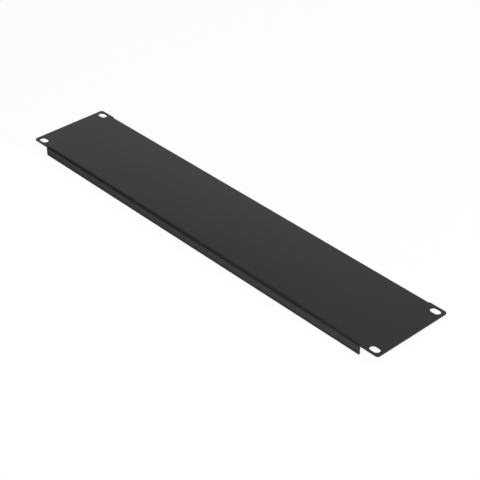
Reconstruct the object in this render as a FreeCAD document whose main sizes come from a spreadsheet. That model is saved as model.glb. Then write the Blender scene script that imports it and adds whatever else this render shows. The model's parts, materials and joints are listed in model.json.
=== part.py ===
import FreeCAD, Part
import enum
import math
import os
import Sketcher

# Rack blanking panel: a plate that covers two empty units of an equipment rack.
# It is one piece of sheet steel. Both long edges are folded back through 90 degrees, which
# stiffens the face. The folds stop short of the ends, so that a flat ear is left at each end
# to lie against the rack's posts, and each ear has two slots for the rack's screws.
# A narrow relief slit parts each end of a fold from its ear, so that the sheet doesn't tear
# when it is folded.
#
# The panel lies on the free edges of its flanges, with its front face up: X runs along the
# panel, Y across it, and Z out of the front face. The origin is the centre of the panel, on
# the surface that the flanges stand on.
# The panel is the same on both sides of XZ and of YZ, so the quarter at +X +Y is modelled,
# and mirrored twice.

# Driving sizes, in millimetres: name, value, meaning.
SIZES = (
    ("panel_length", "482.6", "overall length, the width of a 19 inch rack front"),
    ("panel_height", "88.1", "overall height, two rack units less the gap to a neighbour"),
    ("sheet_thickness", "1.2", "thickness of the sheet"),
    ("ear_width", "20.8", "end of the panel to the end of a flange, clear of the rack's post"),
    ("flange_depth", "10.3", "front face to the free edge of a flange"),
    ("inside_bend_radius", "0.6", "radius inside each fold"),
    ("flange_corner_radius", "0.6", "rounding of the free corners of a flange"),
    ("ear_corner_radius", "3", "rounding of the four outer corners"),
    ("relief_width", "0.3", "width of the laser-cut slit between a fold and its ear"),
    ("relief_overrun", "0.4", "how far the slit runs past the start of the fold"),
    ("slot_end_margin", "8.75", "centre of a slot to the end of the panel"),
    ("slot_edge_margin", "5.95", "centre of a slot to the long edge of the panel"),
    ("slot_length", "10.5", "overall length of a slot, along the panel"),
    ("slot_width", "7", "width of a slot, for an M6 screw"),
)

# Sizes that follow from the driving ones. Each is a formula on the spreadsheet's cells.
PANEL_END = "Sizes.panel_length / 2"
PANEL_EDGE = "Sizes.panel_height / 2"
FLANGE_END = f"{PANEL_END} - Sizes.ear_width"
FLANGE_INNER_FACE = f"{PANEL_EDGE} - Sizes.sheet_thickness"
FLANGE_MIDDLE = f"{PANEL_EDGE} - Sizes.sheet_thickness / 2"
FRONT_LEVEL = "Sizes.flange_depth"
SHEET_MIDDLE_LEVEL = f"{FRONT_LEVEL} - Sizes.sheet_thickness / 2"
BACK_LEVEL = f"{FRONT_LEVEL} - Sizes.sheet_thickness"
INSIDE_BEND_RADIUS = "Sizes.inside_bend_radius"
OUTSIDE_BEND_RADIUS = "(Sizes.inside_bend_radius + Sizes.sheet_thickness)"
FOLD_START = f"{PANEL_EDGE} - {OUTSIDE_BEND_RADIUS}"
FOLD_MIDDLE = f"({FLANGE_END}) / 2"
RELIEF_END = f"{FLANGE_END} + Sizes.relief_width"
RELIEF_BOTTOM = f"{FOLD_START} - Sizes.relief_overrun"
SLOT_END_RADIUS = "Sizes.slot_width / 2"
SLOT_LINE = f"{PANEL_EDGE} - Sizes.slot_edge_margin"
SLOT_ARC_OFFSET = "(Sizes.slot_length - Sizes.slot_width) / 2"
SLOT_OUTER_ARC = f"{PANEL_END} - Sizes.slot_end_margin + {SLOT_ARC_OFFSET}"
SLOT_INNER_ARC = f"{PANEL_END} - Sizes.slot_end_margin - {SLOT_ARC_OFFSET}"

# How a sketch numbers the points of a line or an arc, its own axes and its origin.
Point = enum.IntEnum("Point", ("START", "END", "CENTRE"))
AXIS = {"horizontal": -1, "vertical": -2}
ORIGIN = (AXIS["horizontal"], Point.START)

NORMAL = FreeCAD.Vector(0, 0, 1)
QUARTER_TURN = math.pi / 2
SAME_PLACE = 1e-6
VOLUME_MATCH = 1e-3


def amount(formula):
    """What a formula comes to with the sheet's present values; None stands for zero."""
    return 0.0 if formula is None else float(sizes.evalExpression(formula))


def spot(across, up):
    """The point of a sketch that two formulas give."""
    return FreeCAD.Vector(amount(across), amount(up), 0)


def origin_plane(role):
    """One of the panel's own reference planes."""
    return next(plane for plane in panel.Origin.OriginFeatures if plane.Role == role)


def new_sketch(name, role):
    """An empty sketch on one of the panel's reference planes."""
    sketch = panel.newObject("Sketcher::SketchObject", name)
    sketch.AttachmentSupport = (origin_plane(role), "")
    sketch.MapMode = "FlatFace"
    return sketch


def relate(sketch, kind, *where):
    """Add a constraint that has no size."""
    sketch.addConstraint(Sketcher.Constraint(kind, *where))


def dimension(sketch, kind, *where, formula):
    """Add a constraint whose size follows a formula."""
    index = sketch.addConstraint(Sketcher.Constraint(kind, *where, amount(formula)))
    sketch.setExpression(f"Constraints[{index}]", formula)


def fix_point(sketch, item, which, across, up):
    """Tie one point of a line or an arc to formulas for its place; None is on an axis."""
    if across is None:
        relate(sketch, "PointOnObject", item, which, AXIS["vertical"])
    else:
        dimension(sketch, "DistanceX", *ORIGIN, item, which, formula=across)
    if up is None:
        relate(sketch, "PointOnObject", item, which, AXIS["horizontal"])
    else:
        dimension(sketch, "DistanceY", *ORIGIN, item, which, formula=up)


def draw_outline(sketch, corners):
    """Draw a closed outline of straight lines through corners given by their formulas."""
    spots = [spot(across, up) for across, up in corners]
    lines = [
        sketch.addGeometry(Part.LineSegment(here, there))
        for here, there in zip(spots, spots[1:] + spots[:1])
    ]
    for line, following in zip(lines, lines[1:] + lines[:1]):
        relate(sketch, "Coincident", line, Point.END, following, Point.START)
    for line, (across, up) in zip(lines, corners):
        fix_point(sketch, line, Point.START, across, up)


def draw_slot(sketch):
    """Draw one slot: two half circles joined by two straight sides."""
    radius = amount(SLOT_END_RADIUS)
    outer_middle = spot(SLOT_OUTER_ARC, SLOT_LINE)
    inner_middle = spot(SLOT_INNER_ARC, SLOT_LINE)
    rise = FreeCAD.Vector(0, radius, 0)
    outer_circle = Part.Circle(outer_middle, NORMAL, radius)
    inner_circle = Part.Circle(inner_middle, NORMAL, radius)
    outline = [
        sketch.addGeometry(piece)
        for piece in (
            Part.ArcOfCircle(outer_circle, -QUARTER_TURN, QUARTER_TURN),
            Part.LineSegment(outer_middle + rise, inner_middle + rise),
            Part.ArcOfCircle(inner_circle, QUARTER_TURN, 3 * QUARTER_TURN),
            Part.LineSegment(inner_middle - rise, outer_middle - rise),
        )
    ]
    outer_arc, upper_side, inner_arc, lower_side = outline
    for piece, following in zip(outline, outline[1:] + outline[:1]):
        relate(sketch, "Tangent", piece, Point.END, following, Point.START)
    relate(sketch, "Horizontal", upper_side)
    dimension(sketch, "Radius", outer_arc, formula=SLOT_END_RADIUS)
    fix_point(sketch, outer_arc, Point.CENTRE, SLOT_OUTER_ARC, SLOT_LINE)
    dimension(sketch, "DistanceX", *ORIGIN, inner_arc, Point.CENTRE, formula=SLOT_INNER_ARC)


def round_edge(name, radius, *middle):
    """Round the edge of the panel so far whose middle has the three given coordinates."""
    document.recompute()
    base = panel.Tip
    target = FreeCAD.Vector(*map(amount, middle))
    edges = [
        f"Edge{number}"
        for number, edge in enumerate(base.Shape.Edges, start=1)
        if edge.CenterOfMass.distanceToPoint(target) < SAME_PLACE
    ]
    if len(edges) != 1:
        raise RuntimeError(f"{name}: {len(edges)} edges have their middle at {target}, not one")
    fillet = panel.newObject("PartDesign::Fillet", name)
    fillet.Base = (base, edges)
    fillet.setExpression("Radius", radius)


def mirror_whole(name, role):
    """Add the other half of the panel, on the far side of a reference plane."""
    mirrored = panel.newObject("PartDesign::Mirrored", name)
    mirrored.TransformMode = "Whole shape"
    mirrored.MirrorPlane = (origin_plane(role), [""])
    panel.Tip = mirrored
    document.recompute()


document = FreeCAD.newDocument("RackBlankingPanel")

sizes = document.addObject("Spreadsheet::Sheet", "Sizes")
for row, (name, text, meaning) in enumerate(SIZES, start=1):
    sizes.set(f"A{row}", name)
    sizes.set(f"B{row}", text)
    sizes.set(f"C{row}", meaning)
    sizes.setAlias(f"B{row}", name)
document.recompute()

panel = document.addObject("PartDesign::Body", "Panel")
panel.Label = "blanking_panel"
panel.Placement = FreeCAD.Placement()

# The flat sheet: the ear and the face, as far as the start of the fold, with the slit between.
flat_outline = new_sketch("FlatOutline", "XY_Plane")
flat_outline.setExpression("AttachmentOffset.Base.z", BACK_LEVEL)
draw_outline(
    flat_outline,
    [
        (None, None),
        (PANEL_END, None),
        (PANEL_END, PANEL_EDGE),
        (RELIEF_END, PANEL_EDGE),
        (RELIEF_END, RELIEF_BOTTOM),
        (FLANGE_END, RELIEF_BOTTOM),
        (FLANGE_END, FOLD_START),
        (None, FOLD_START),
    ],
)
flat = panel.newObject("PartDesign::Pad", "Flat")
flat.Profile = flat_outline
flat.setExpression("Length", "Sizes.sheet_thickness")

# The folded edge: an L-shaped section, drawn square and then bent on its two radii.
fold_section = new_sketch("FoldSection", "YZ_Plane")
draw_outline(
    fold_section,
    [
        (FOLD_START, FRONT_LEVEL),
        (FOLD_START, BACK_LEVEL),
        (FLANGE_INNER_FACE, BACK_LEVEL),
        (FLANGE_INNER_FACE, None),
        (PANEL_EDGE, None),
        (PANEL_EDGE, FRONT_LEVEL),
    ],
)
fold = panel.newObject("PartDesign::Pad", "Fold")
fold.Profile = fold_section
fold.setExpression("Length", FLANGE_END)
round_edge("BendOutside", OUTSIDE_BEND_RADIUS, FOLD_MIDDLE, PANEL_EDGE, FRONT_LEVEL)
round_edge("BendInside", INSIDE_BEND_RADIUS, FOLD_MIDDLE, FLANGE_INNER_FACE, BACK_LEVEL)
round_edge("FlangeCorner", "Sizes.flange_corner_radius", FLANGE_END, FLANGE_MIDDLE, None)
round_edge("EarCorner", "Sizes.ear_corner_radius", PANEL_END, PANEL_EDGE, SHEET_MIDDLE_LEVEL)
document.recompute()

# The rack screw's slot, punched through the ear.
whole_volume = panel.Shape.Volume
slot_outline = new_sketch("SlotOutline", "XY_Plane")
slot_outline.setExpression("AttachmentOffset.Base.z", FRONT_LEVEL)
draw_slot(slot_outline)
slot = panel.newObject("PartDesign::Pocket", "Slot")
slot.Profile = slot_outline
slot.setExpression("Length", "Sizes.sheet_thickness")
document.recompute()
slot_area = math.pi * amount(SLOT_END_RADIUS) ** 2 + amount(
    "(Sizes.slot_length - Sizes.slot_width) * Sizes.slot_width"
)
slot_volume = slot_area * amount("Sizes.sheet_thickness")
removed = whole_volume - panel.Shape.Volume
if abs(removed - slot_volume) > VOLUME_MATCH * slot_volume:
    raise RuntimeError(f"the slot took {removed:.2f} cubic mm away, not {slot_volume:.2f}")

quarter_volume = panel.Shape.Volume
mirror_whole("OtherEnd", "YZ_Plane")
mirror_whole("OtherEdge", "XZ_Plane")
if abs(panel.Shape.Volume - 4 * quarter_volume) > VOLUME_MATCH * quarter_volume:
    raise RuntimeError("the mirrored panel isn't four quarters")

# Nothing is written unless every feature was made and the panel is one sound solid.
for feature in document.Objects:
    if "Invalid" in feature.State or "Error" in feature.State:
        raise RuntimeError(f"{feature.Label} wasn't made: {feature.State}")
if panel.Shape.isNull() or not panel.Shape.isValid() or len(panel.Shape.Solids) != 1:
    raise RuntimeError(f"{panel.Label} isn't one valid solid")

os.makedirs("parts", exist_ok=True)
panel.Shape.exportStep(os.path.join("parts", f"{panel.Label}.step"))
print(f"{panel.Label}: {panel.Shape.Volume / 1000:.2f} cubic cm, {panel.Shape.BoundBox}")
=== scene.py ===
"""The looks of a rack blanking panel: one folded sheet of steel in satin black powder coat.

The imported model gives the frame. The sheet is built as it is made: a flat skin with its slots
and relief slits is folded along both long edges, and then given its thickness and its
paint-rounded edges. All lengths are in metres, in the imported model's own frame: X along the
panel, Y across it, Z out of its front face.
"""

from __future__ import annotations

import json
import logging
import math
from dataclasses import dataclass, fields
from enum import Enum
from functools import reduce
from typing import Any, Mapping, Optional, Sequence, Tuple, Union

import bmesh
import bpy
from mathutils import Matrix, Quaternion, Vector


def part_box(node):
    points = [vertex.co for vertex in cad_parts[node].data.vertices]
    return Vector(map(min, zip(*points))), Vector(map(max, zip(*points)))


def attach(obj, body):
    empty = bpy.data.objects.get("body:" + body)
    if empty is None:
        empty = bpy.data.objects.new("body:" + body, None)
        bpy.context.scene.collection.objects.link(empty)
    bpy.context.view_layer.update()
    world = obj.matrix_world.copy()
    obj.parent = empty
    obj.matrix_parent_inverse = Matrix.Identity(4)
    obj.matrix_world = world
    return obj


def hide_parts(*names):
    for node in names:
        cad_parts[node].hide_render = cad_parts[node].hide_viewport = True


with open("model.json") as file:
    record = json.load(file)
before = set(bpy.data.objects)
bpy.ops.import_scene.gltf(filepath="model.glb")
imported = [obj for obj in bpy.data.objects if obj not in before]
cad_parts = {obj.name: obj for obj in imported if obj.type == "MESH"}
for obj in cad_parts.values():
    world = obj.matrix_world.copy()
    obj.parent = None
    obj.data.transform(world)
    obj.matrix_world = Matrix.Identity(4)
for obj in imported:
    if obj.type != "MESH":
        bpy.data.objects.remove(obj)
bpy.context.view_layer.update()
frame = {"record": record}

log = logging.getLogger("blanking_panel")

NODE = "blanking_panel"
COAT_SLOT = "powder_coat"
MM = 0.001
MERGE_DISTANCE = 0.002 * MM
# A noise lies between zero and one, and about this on the whole.
NOISE_MIDDLE = 0.5
# Whole numbers that differ by no more than this are the same.
SAME_NUMBER = 0.5


class Value:
    """One output socket of a node tree; arithmetic on it adds Math nodes to the tree."""

    def __init__(self, graph: Graph, socket: bpy.types.NodeSocket) -> None:
        """Wrap a socket.

        Args:
            graph: The tree that the socket belongs to.
            socket: The output socket to wrap.
        """
        self.graph = graph
        self.socket = socket

    def __add__(self, other: Number) -> Value:
        """Sum."""
        return self.graph.math("ADD", self, other)

    __radd__ = __add__

    def __sub__(self, other: Number) -> Value:
        """Difference."""
        return self.graph.math("SUBTRACT", self, other)

    def __rsub__(self, other: Number) -> Value:
        """Difference, from a plain number."""
        return self.graph.math("SUBTRACT", other, self)

    def __mul__(self, other: Number) -> Value:
        """Product."""
        return self.graph.math("MULTIPLY", self, other)

    __rmul__ = __mul__

    def __truediv__(self, other: Number) -> Value:
        """Quotient."""
        return self.graph.math("DIVIDE", self, other)


Number = Union[float, int, Value]
Colour = Tuple[float, float, float, float]


def plain_grey(level: float) -> Colour:
    """An opaque grey, from 0 for black to 1 for white."""
    return (level, level, level, 1.0)


class Graph:
    """A node tree, and the one method that adds nodes to it."""

    def __init__(self, tree: bpy.types.NodeTree) -> None:
        """Start on an empty tree.

        Args:
            tree: The shader or geometry tree to fill.
        """
        self.tree = tree

    def add(
        self,
        kind: str,
        settings: Optional[Mapping[str, Any]] = None,
        inputs: Optional[Mapping[Union[int, str], Any]] = None,
        output: Optional[str] = None,
    ) -> Optional[Value]:
        """Add a node.

        Args:
            kind: The node's type.
            settings: Its properties, set before its sockets; "choices" is the number of items
                of an index switch.
            inputs: What its sockets take: a Value or a list of them to link, or a constant.
            output: The name of the output wanted; the first live one if left out.

        Returns:
            The output, for use in other nodes, or None where the node has none.
        """
        node = self.tree.nodes.new(kind)
        for name, setting in (settings or {}).items():
            if name == "choices":
                while len(node.index_switch_items) < setting:
                    node.index_switch_items.new()
            else:
                setattr(node, name, setting)
        for name, given in (inputs or {}).items():
            socket = self._input(node, name)
            for source in given if isinstance(given, list) else [given]:
                if isinstance(source, Value):
                    self.tree.links.new(source.socket, socket)
                else:
                    socket.default_value = source
        found = [
            socket
            for socket in node.outputs
            if socket.enabled and output in (None, socket.name)
        ]
        return Value(self, found[0]) if found else None

    def math(self, operation: str, *operands: Number) -> Value:
        """Add one Math node.

        Args:
            operation: Its operation.
            operands: What it works on, in the order of its sockets.

        Returns:
            Its result.
        """
        return self.add("ShaderNodeMath", {"operation": operation}, dict(enumerate(operands)))

    def clamped(self, value: Value, top: float = 1.0) -> Value:
        """Keep a value between zero and a top."""
        return self.math("MAXIMUM", self.math("MINIMUM", value, top), 0.0)

    def axes(self, vector: Value) -> Sequence[Value]:
        """Split a vector into its three coordinates."""
        return [
            self.add("ShaderNodeSeparateXYZ", inputs={"Vector": vector}, output=axis)
            for axis in "XYZ"
        ]

    def seen_by(self, *rays: str) -> Value:
        """Tell light paths apart.

        Args:
            rays: The kinds of ray that count, by the node's own names for them.

        Returns:
            One for a ray of any of these kinds, and zero for all others.
        """
        found = [self.add("ShaderNodeLightPath", output=ray) for ray in rays]
        return reduce(lambda first, second: self.math("MAXIMUM", first, second), found)

    @staticmethod
    def _input(node: bpy.types.Node, name: Union[int, str]) -> bpy.types.NodeSocket:
        """Find one of a node's inputs.

        Args:
            node: The node.
            name: The input's number, its identifier or its name.

        Returns:
            The input.
        """
        if isinstance(name, int):
            return node.inputs[name]
        by_name = {socket.name: socket for socket in node.inputs if socket.enabled}
        by_identifier = {socket.identifier: socket for socket in node.inputs}
        return by_identifier.get(name) or by_name[name]


class Mirror(Enum):
    """A centre plane that the panel is mirrored across, as the scale that mirrors it."""

    END_TO_END = (-1.0, 1.0, 1.0)
    EDGE_TO_EDGE = (1.0, -1.0, 1.0)


@dataclass(frozen=True)
class SheetSizes:
    """The sizes that the folded skin follows; each is an input of its node tree."""

    panel_length: float
    panel_height: float
    flange_depth: float
    slot_length: float
    slot_width: float
    slot_end_margin: float
    slot_edge_margin: float
    bend_radius: float = 1.8 * MM
    ear_width: float = 20.8 * MM
    ear_corner_radius: float = 3.0 * MM
    flange_corner_radius: float = 0.6 * MM
    relief_width: float = 0.3 * MM
    relief_overrun: float = 0.4 * MM

    @classmethod
    def from_frame(cls) -> SheetSizes:
        """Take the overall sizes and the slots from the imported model.

        Returns:
            The sizes, with the folds, the ears and the reliefs as written here.
        """
        low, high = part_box(NODE)
        extent = high - low
        slots = panel_mount("rack_screws")["dims"]
        return cls(
            panel_length=extent.x,
            panel_height=extent.y,
            flange_depth=extent.z,
            slot_length=slots["slot_length_mm"] * MM,
            slot_width=2 * slots["hole_r_mm"] * MM,
            slot_end_margin=(extent.x - slots["spacing_x_mm"] * MM) / 2,
            slot_edge_margin=(extent.y - slots["spacing_y_mm"] * MM) / 2,
        )


def panel_mount(name: str) -> Mapping[str, Any]:
    """Look up one of the record's mounts by its name."""
    return next(mount for mount in frame["record"]["mounts"] if mount["name"] == name)


class SkinTree(Graph):
    """The node tree of the sheet's front skin, folded along both long edges.

    One quarter is made, at +X +Y, of three patches that share their edges: the flat face and
    ear with its slot, the curve of the fold, and the flange. Two mirrors complete it.
    """

    ARC_STEPS = 14
    FOLD_STEPS = 12
    STRIP_SIZE = 1.0

    def __init__(self) -> None:
        """Make the tree with one named input for each size, and one for the finish."""
        super().__init__(bpy.data.node_groups.new("folded_skin", "GeometryNodeTree"))
        new_socket = self.tree.interface.new_socket
        for size in fields(SheetSizes):
            new_socket(size.name, in_out="INPUT", socket_type="NodeSocketFloat")
        new_socket("finish", in_out="INPUT", socket_type="NodeSocketMaterial")
        new_socket("skin", in_out="OUTPUT", socket_type="NodeSocketGeometry")
        self._build()

    def size(self, name: str) -> Value:
        """Read one of the tree's inputs."""
        return self.add("NodeGroupInput", output=name)

    def spot(self, along: Number, across: Number, up: Number) -> Value:
        """Join three coordinates into a place."""
        return self.add("ShaderNodeCombineXYZ", inputs={"X": along, "Y": across, "Z": up})

    def place(self) -> Sequence[Value]:
        """Read the three coordinates of the points at hand."""
        return self.axes(self.add("GeometryNodeInputPosition"))

    def outline(
        self, corners: Sequence[Sequence[Number]], rounded: int, radius: Value
    ) -> Value:
        """Draw a closed outline with straight sides and one round corner.

        Args:
            corners: The corners in order, each as two coordinates.
            rounded: Which corner is round, counting from zero.
            radius: The radius of that corner.

        Returns:
            The outline, as a curve.
        """
        number = self.add("GeometryNodeInputIndex")
        spots = {
            f"Item_{count}": self.spot(along, across, 0.0)
            for count, (along, across) in enumerate(corners)
        }
        chosen = self.add(
            "GeometryNodeIndexSwitch",
            {"data_type": "VECTOR", "choices": len(corners)},
            {"Index": number, **spots},
        )
        points = self.add("GeometryNodePoints", inputs={"Count": len(corners), "Position": chosen})
        path = self.add("GeometryNodePointsToCurves", inputs={"Points": points})
        closed = self.add(
            "GeometryNodeSetSplineCyclic", inputs={"Geometry": path, "Cyclic": True}
        )
        is_rounded = self.math("COMPARE", number, rounded, SAME_NUMBER)
        return self.fillet(closed, radius * is_rounded)

    def fillet(self, curve: Value, radius: Value) -> Value:
        """Round the corners of a curve with even short steps."""
        return self.add(
            "GeometryNodeFilletCurve",
            {"mode": "POLY"},
            {"Curve": curve, "Count": self.ARC_STEPS, "Radius": radius, "Limit Radius": True},
        )

    def slot(self) -> Value:
        """Draw one slot: a box whose corners are rounded until its ends are half circles.

        Returns:
            The slot's outline, as a curve in its place.
        """
        width = self.size("slot_width")
        box = self.add(
            "GeometryNodeCurvePrimitiveQuadrilateral",
            inputs={"Width": self.size("slot_length"), "Height": width},
        )
        middle = self.spot(
            self.size("panel_length") / 2 - self.size("slot_end_margin"),
            self.size("panel_height") / 2 - self.size("slot_edge_margin"),
            0.0,
        )
        return self.add(
            "GeometryNodeTransform",
            inputs={"Geometry": self.fillet(box, width / 2), "Translation": middle},
        )

    def filled(self, curves: Sequence[Value]) -> Value:
        """Fill the space between an outline and the holes inside it."""
        joined = self.add("GeometryNodeJoinGeometry", inputs={"Geometry": list(curves)})
        return self.add("GeometryNodeFillCurve", {"mode": "NGONS"}, {"Curve": joined})

    def moved(self, geometry: Value, along: Number, across: Number, up: Number) -> Value:
        """Put every point of a patch at new coordinates."""
        return self.add(
            "GeometryNodeSetPosition",
            inputs={"Geometry": geometry, "Position": self.spot(along, across, up)},
        )

    def flat_patch(self) -> Value:
        """Make the face and the ear, with the relief slit between them and the slot.

        Returns:
            The patch, level with the panel's front.
        """
        end = self.size("panel_length") / 2
        edge = self.size("panel_height") / 2
        flange_end = end - self.size("ear_width")
        fold_start = edge - self.size("bend_radius")
        relief_end = flange_end + self.size("relief_width")
        relief_bottom = fold_start - self.size("relief_overrun")
        corners = [
            (0.0, 0.0),
            (end, 0.0),
            (end, edge),
            (relief_end, edge),
            (relief_end, relief_bottom),
            (flange_end, relief_bottom),
            (flange_end, fold_start),
            (0.0, fold_start),
        ]
        outline = self.outline(corners, 2, self.size("ear_corner_radius"))
        patch = self.filled([outline, self.slot()])
        along, across, _ = self.place()
        return self.moved(patch, along, across, self.size("flange_depth"))

    def fold_patch(self) -> Value:
        """Make the quarter turn of the fold, bent from a flat strip.

        Returns:
            The patch, from the face's edge to the flange's.
        """
        radius = self.size("bend_radius")
        flange_end = self.size("panel_length") / 2 - self.size("ear_width")
        strip = self.add(
            "GeometryNodeMeshGrid",
            inputs={
                "Size X": self.STRIP_SIZE,
                "Size Y": self.STRIP_SIZE,
                "Vertices X": 2,
                "Vertices Y": self.FOLD_STEPS + 1,
            },
        )
        along, across, _ = self.place()
        turn = (across + self.STRIP_SIZE / 2) * (math.pi / 2)
        return self.moved(
            strip,
            (along + self.STRIP_SIZE / 2) * flange_end,
            self.size("panel_height") / 2 - radius + radius * self.math("SINE", turn),
            self.size("flange_depth") - radius + radius * self.math("COSINE", turn),
        )

    def flange_patch(self) -> Value:
        """Make the flange below the fold, with its free corner rounded.

        Returns:
            The patch, upright on the panel's long edge.
        """
        flange_end = self.size("panel_length") / 2 - self.size("ear_width")
        drop = self.size("flange_depth") - self.size("bend_radius")
        corners = [(0.0, 0.0), (flange_end, 0.0), (flange_end, drop), (0.0, drop)]
        outline = self.outline(corners, 2, self.size("flange_corner_radius"))
        along, down, _ = self.place()
        return self.moved(
            self.filled([outline]), along, self.size("panel_height") / 2, drop - down
        )

    def _build(self) -> None:
        """Join the three patches, mirror them, and give the whole its finish."""
        patches = [self.flat_patch(), self.fold_patch(), self.flange_patch()]
        skin = self.add("GeometryNodeJoinGeometry", inputs={"Geometry": patches})
        for mirror in Mirror:
            other = self.add(
                "GeometryNodeTransform", inputs={"Geometry": skin, "Scale": mirror.value}
            )
            skin = self.add("GeometryNodeJoinGeometry", inputs={"Geometry": [skin, other]})
        merged = self.add(
            "GeometryNodeMergeByDistance", inputs={"Geometry": skin, "Distance": MERGE_DISTANCE}
        )
        smooth = self.add("GeometryNodeSetShadeSmooth", inputs={"Geometry": merged})
        real = self.add("GeometryNodeRealizeInstances", inputs={"Geometry": smooth})
        dressed = self.add(
            "GeometryNodeSetMaterial", inputs={"Geometry": real, "Material": self.size("finish")}
        )
        self.add("NodeGroupOutput", inputs={"skin": dressed})


@dataclass(frozen=True)
class FoldCrown:
    """The slight roll of the face beside the front fold, which dies out at the flange's ends."""

    panel_half_height: float
    flange_half_length: float
    reach: float = 4.5 * MM
    fall: float = 0.85 * MM
    end_power: float = 9.0

    @classmethod
    def of_sheet(cls, sizes: SheetSizes) -> FoldCrown:
        """Fit the roll to a sheet's sizes."""
        return cls(
            panel_half_height=sizes.panel_height / 2,
            flange_half_length=sizes.panel_length / 2 - sizes.ear_width,
        )

    def height(self, graph: Graph) -> Value:
        """Give the height of the rolled face against the true one.

        Args:
            graph: The finish's tree.

        Returns:
            The height, which is never above zero.
        """
        along, across, _ = graph.axes(graph.add("ShaderNodeTexCoord", output="Object"))
        from_edge = self.panel_half_height + across
        nearness = graph.clamped(1.0 - from_edge / self.reach)
        from_middle = graph.math("ABSOLUTE", along / self.flange_half_length)
        end_share = graph.math("POWER", from_middle, self.end_power)
        middleness = graph.clamped(1.0 - end_share)
        return nearness * nearness * middleness * -self.fall


@dataclass(frozen=True)
class Mottle:
    """An uneven pattern in the coat, by the size of its features and how finely they break up."""

    size: float
    detail: float

    def noise(self, graph: Graph) -> Value:
        """Add the pattern to a finish.

        Args:
            graph: The finish's tree.

        Returns:
            The pattern, between zero and one and about a half on the whole.
        """
        place = graph.add("ShaderNodeTexCoord", output="Object")
        return graph.add(
            "ShaderNodeTexNoise",
            {"noise_dimensions": "3D"},
            {"Vector": place, "Scale": 1.0 / self.size, "Detail": self.detail},
        )


@dataclass(frozen=True)
class PowderCoat:
    """Satin black powder coat: nearly black, with a faint orange peel and fine grain."""

    crown: FoldCrown
    grey: float = 0.010
    cloud: Mottle = Mottle(size=45 * MM, detail=2.0)
    cloud_share: float = 0.10
    speck: Mottle = Mottle(size=0.5 * MM, detail=1.0)
    speck_share: float = 0.08
    roughness: float = 0.42
    roughness_spread: float = 0.05
    peel: Mottle = Mottle(size=1.3 * MM, detail=1.5)
    peel_height: float = 0.006 * MM
    grain: Mottle = Mottle(size=0.28 * MM, detail=2.0)
    grain_height: float = 0.002 * MM

    def material(self) -> bpy.types.Material:
        """Make the material.

        Returns:
            A node material for the whole sheet.
        """
        material = bpy.data.materials.new(COAT_SLOT)
        material.use_nodes = True
        material.node_tree.nodes.clear()
        graph = Graph(material.node_tree)
        cloud = self.cloud.noise(graph)
        speck = self.speck.noise(graph)
        peel = self.peel.noise(graph)
        grain = self.grain.noise(graph)
        clouded = (cloud - NOISE_MIDDLE) * (2 * self.cloud_share)
        specked = (speck - NOISE_MIDDLE) * (2 * self.speck_share)
        shade = 1.0 + clouded + specked
        colour = graph.add(
            "ShaderNodeMix",
            {"data_type": "RGBA"},
            {
                "Factor_Float": shade / 2,
                "A_Color": plain_grey(0.0),
                "B_Color": plain_grey(2 * self.grey),
            },
            "Result",
        )
        uneven = grain - NOISE_MIDDLE + cloud - NOISE_MIDDLE
        rough = self.roughness + uneven * self.roughness_spread
        texture = peel * self.peel_height + grain * self.grain_height
        height = texture + self.crown.height(graph)
        bump = graph.add(
            "ShaderNodeBump", inputs={"Strength": 1.0, "Distance": 1.0, "Height": height}
        )
        paint = graph.add(
            "ShaderNodeBsdfPrincipled",
            inputs={"Base Color": colour, "Roughness": rough, "Normal": bump},
        )
        graph.add("ShaderNodeOutputMaterial", inputs={"Surface": paint})
        return material


@dataclass(frozen=True)
class PaleFloor:
    """The floor's finish: a matt off-white that shows as white, with a pale shadow on it."""

    grey: float = 0.77
    glow: float = 0.95

    def material(self) -> bpy.types.Material:
        """Make the material.

        Returns:
            A node material that the camera and glass see as nearly white.
        """
        material = bpy.data.materials.new("pale_floor")
        material.use_nodes = True
        material.node_tree.nodes.clear()
        graph = Graph(material.node_tree)
        seen = graph.seen_by("Is Camera Ray", "Is Transmission Ray")
        matt = graph.add("ShaderNodeBsdfDiffuse", inputs={"Color": plain_grey(self.grey)})
        white = graph.add(
            "ShaderNodeEmission", inputs={"Color": plain_grey(1.0), "Strength": 1.0}
        )
        mixed = graph.add(
            "ShaderNodeMixShader", inputs={0: seen * self.glow, 1: matt, 2: white}
        )
        graph.add("ShaderNodeOutputMaterial", inputs={"Surface": mixed})
        return material


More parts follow.
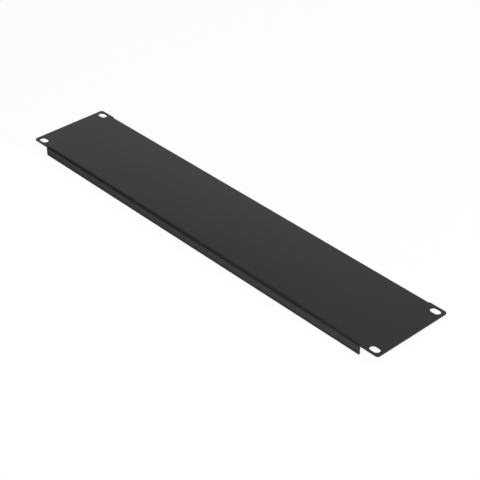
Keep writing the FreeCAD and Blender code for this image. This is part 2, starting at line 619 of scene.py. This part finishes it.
@dataclass(frozen=True)
class Sheet:
    """The panel itself: one sheet with its flat face, ears, slots, folds and flanges."""

    sizes: SheetSizes
    thickness: float
    coat: PowderCoat
    edge_radius: float = 0.14 * MM
    edge_steps: int = 3
    sharp_angle: float = math.radians(40)

    def build(self) -> bpy.types.Object:
        """Make the finished sheet.

        Returns:
            The sheet, as a plain closed mesh.
        """
        finish = self.coat.material()
        skin = self._skin(finish)
        sheet = bpy.data.objects.new("folded_sheet", skin)
        bpy.context.scene.collection.objects.link(sheet)
        self._thicken(sheet)
        sheet.data = plain_mesh(sheet)
        sheet.modifiers.clear()
        return sheet

    def _skin(self, finish: bpy.types.Material) -> bpy.types.Mesh:
        """Grow the front skin from its node tree.

        Args:
            finish: The material that it gets.

        Returns:
            The skin, facing outwards all over.
        """
        tree = SkinTree().tree
        carrier = bpy.data.objects.new("skin", bpy.data.meshes.new("skin"))
        bpy.context.scene.collection.objects.link(carrier)
        modifier = carrier.modifiers.new("folded_skin", "NODES")
        modifier.node_group = tree
        for socket in tree.interface.items_tree:
            if socket.in_out == "INPUT":
                given = finish if socket.name == "finish" else getattr(self.sizes, socket.name)
                modifier[socket.identifier] = given
        mesh = plain_mesh(carrier)
        bpy.data.objects.remove(carrier)
        face_outwards(mesh)
        return mesh

    def _thicken(self, sheet: bpy.types.Object) -> None:
        """Give the skin its thickness, towards the back, and round its cut edges.

        Args:
            sheet: The object that holds the skin.
        """
        wall = sheet.modifiers.new("wall", "SOLIDIFY")
        wall.thickness = self.thickness
        wall.offset = -1.0
        wall.use_even_offset = True
        wall.use_quality_normals = True
        edges = sheet.modifiers.new("paint_rounded_edges", "BEVEL")
        edges.width = self.edge_radius
        edges.segments = self.edge_steps
        edges.limit_method = "ANGLE"
        edges.angle_limit = self.sharp_angle
        edges.use_clamp_overlap = False
        edges.harden_normals = True


def plain_mesh(piece: bpy.types.Object) -> bpy.types.Mesh:
    """Apply a piece's modifiers.

    Args:
        piece: The object, which keeps its modifiers.

    Returns:
        The plain mesh that they give.
    """
    graph = bpy.context.evaluated_depsgraph_get()
    graph.update()
    return bpy.data.meshes.new_from_object(
        piece.evaluated_get(graph), preserve_all_data_layers=True, depsgraph=graph
    )


def face_outwards(skin: bpy.types.Mesh) -> None:
    """Turn all the faces of an open skin to the same side, with its largest one upwards.

    Args:
        skin: The mesh, which is changed.
    """
    shape = bmesh.new()
    shape.from_mesh(skin)
    bmesh.ops.remove_doubles(shape, verts=shape.verts, dist=MERGE_DISTANCE)
    bmesh.ops.recalc_face_normals(shape, faces=shape.faces)
    largest = max(shape.faces, key=lambda face: face.calc_area())
    if largest.normal.z < 0:
        bmesh.ops.reverse_faces(shape, faces=shape.faces)
    shape.to_mesh(skin)
    shape.free()


@dataclass(frozen=True)
class Lamp:
    """A rectangular studio lamp that points at the middle of the panel."""

    name: str
    azimuth: float
    elevation: float
    distance: float
    width: float
    height: float
    power: float

    def build(self, target: Vector) -> None:
        """Hang the lamp and aim it.

        Args:
            target: The point that it lights.
        """
        data = bpy.data.lights.new(self.name, "AREA")
        data.shape = "RECTANGLE"
        data.size = self.width
        data.size_y = self.height
        data.energy = self.power
        lamp = bpy.data.objects.new(self.name, data)
        bpy.context.scene.collection.objects.link(lamp)
        way = direction(self.azimuth, self.elevation)
        lamp.location = target + way * self.distance
        lamp.rotation_euler = (-way).to_track_quat("-Z", "Y").to_euler()


def direction(azimuth: float, elevation: float) -> Vector:
    """Point from the panel to a viewer.

    Args:
        azimuth: The turn round the panel in degrees; 0 is in front, at -Y, and 90 is at +X.
        elevation: The height above the panel's plane, in degrees.

    Returns:
        The unit vector that way.
    """
    turn, tilt = math.radians(azimuth), math.radians(elevation)
    return Vector(
        (math.sin(turn) * math.cos(tilt), -math.cos(turn) * math.cos(tilt), math.sin(tilt))
    )


@dataclass(frozen=True)
class Viewpoint:
    """The camera: where it stands, as angles and a distance from the spot it looks at."""

    azimuth: float = 47.674
    elevation: float = 34.638
    roll: float = -0.302
    distance: float = 1.28285
    focal_length: float = 104.084
    sensor: float = 36.0
    aim_along: float = 39.1 * MM
    aim_across: float = -12.7 * MM

    def build(self, front_level: float) -> None:
        """Set up the camera and make it the scene's own.

        Args:
            front_level: The height of the panel's front face.
        """
        data = bpy.data.cameras.new("camera")
        data.lens = self.focal_length
        data.sensor_width = self.sensor
        camera = bpy.data.objects.new("camera", data)
        bpy.context.scene.collection.objects.link(camera)
        way = direction(self.azimuth, self.elevation)
        aim = Vector((self.aim_along, self.aim_across, front_level))
        camera.location = aim + way * self.distance
        level = (-way).to_track_quat("-Z", "Y")
        roll = Quaternion((0.0, 0.0, 1.0), math.radians(self.roll))
        camera.rotation_euler = (level @ roll).to_euler()
        bpy.context.scene.camera = camera


@dataclass(frozen=True)
class Room:
    """The room round the table, with a white backdrop behind it and a pale wall at its front.

    The camera and glass see white on all sides. What mirrors the room sees the backdrop and the
    wall, which fade into the dark between them, and all else gets soft light from every side.
    """

    soft_light: float = 0.12
    backdrop_middle: float = 0.15
    backdrop_height_fade: float = 0.30
    backdrop_side_fade: float = 0.50
    wall_left: float = -0.60
    wall_left_fade: float = 0.22
    wall_white: float = 0.80
    wall_back_fade: float = 0.30

    def walls(self, graph: Graph) -> Value:
        """Give how white the room is in each direction.

        Args:
            graph: The world's tree.

        Returns:
            The whiteness, from zero in the dark to one in the backdrop's middle.
        """
        right, back, up = graph.axes(graph.add("ShaderNodeTexCoord", output="Generated"))
        from_middle = graph.math("ABSOLUTE", up - self.backdrop_middle)
        height_share = graph.clamped(1.0 - from_middle / self.backdrop_height_fade)
        backdrop = height_share * graph.clamped(back / self.backdrop_side_fade)
        wall = graph.clamped((right - self.wall_left) / self.wall_left_fade, self.wall_white)
        return backdrop + wall * graph.clamped(back / -self.wall_back_fade)

    def world(self) -> bpy.types.World:
        """Make the room.

        Returns:
            The world.
        """
        world = bpy.data.worlds.new("room")
        world.use_nodes = True
        world.node_tree.nodes.clear()
        graph = Graph(world.node_tree)
        seen = graph.seen_by("Is Camera Ray", "Is Transmission Ray")
        mirrored = graph.seen_by("Is Glossy Ray")
        others = 1.0 - graph.math("MAXIMUM", seen, mirrored)
        strength = seen + mirrored * self.walls(graph) + others * self.soft_light
        light = graph.add(
            "ShaderNodeBackground", inputs={"Color": plain_grey(1.0), "Strength": strength}
        )
        graph.add("ShaderNodeOutputWorld", inputs={"Surface": light})
        return world


@dataclass(frozen=True)
class Studio:
    """The plain set: a pale floor, the room round it, and two lamps.

    The floor ends shortly before the panel, as a table does, so that the front flange mirrors
    the dark below it too.
    """

    floor_front: float = -0.056
    floor_reach: float = 6.0
    floor: PaleFloor = PaleFloor()
    room: Room = Room()
    lamps: Sequence[Lamp] = (
        Lamp(
            name="key_lamp",
            azimuth=100.0,
            elevation=54.0,
            distance=1.2,
            width=0.8,
            height=0.8,
            power=16.9,
        ),
        Lamp(
            name="back_lamp",
            azimuth=-137.0,
            elevation=27.5,
            distance=2.4,
            width=2.9,
            height=1.1,
            power=6.6,
        ),
    )

    def build(self, target: Vector, floor_level: float) -> None:
        """Lay the floor, light the room and hang the lamps.

        Args:
            target: The middle of the panel's front.
            floor_level: The height of the surface that the panel lies on.
        """
        self._lay_floor(floor_level)
        bpy.context.scene.world = self.room.world()
        for lamp in self.lamps:
            lamp.build(target)
            log.info("%s hung", lamp.name)

    def _lay_floor(self, level: float) -> None:
        """Make the floor, which isn't part of the object.

        Args:
            level: The height of the surface that the panel lies on.
        """
        front, reach = self.floor_front, self.floor_reach
        corners = [(-reach, front), (reach, front), (reach, reach), (-reach, reach)]
        mesh = bpy.data.meshes.new("floor")
        mesh.from_pydata([(x, y, level) for x, y in corners], [], [(0, 1, 2, 3)])
        mesh.materials.append(self.floor.material())
        floor = bpy.data.objects.new("floor", mesh)
        bpy.context.scene.collection.objects.link(floor)


def main() -> None:
    """Build the panel, the room and the camera, in that order."""
    logging.basicConfig(level=logging.INFO, format="%(name)s: %(message)s")
    bpy.context.scene.view_settings.view_transform = "Standard"
    sizes = SheetSizes.from_frame()
    low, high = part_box(NODE)
    thickness = high.z - panel_mount("right_ear_back")["pos_m"][2]
    coat = PowderCoat(FoldCrown.of_sheet(sizes))
    sheet = Sheet(sizes, thickness, coat).build()
    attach(sheet, "root")
    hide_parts(NODE)
    log.info("%s: %d faces", sheet.name, len(sheet.data.polygons))
    Studio().build(Vector((0.0, 0.0, high.z)), low.z)
    Viewpoint().build(high.z)


if __name__ == "__main__":
    main()
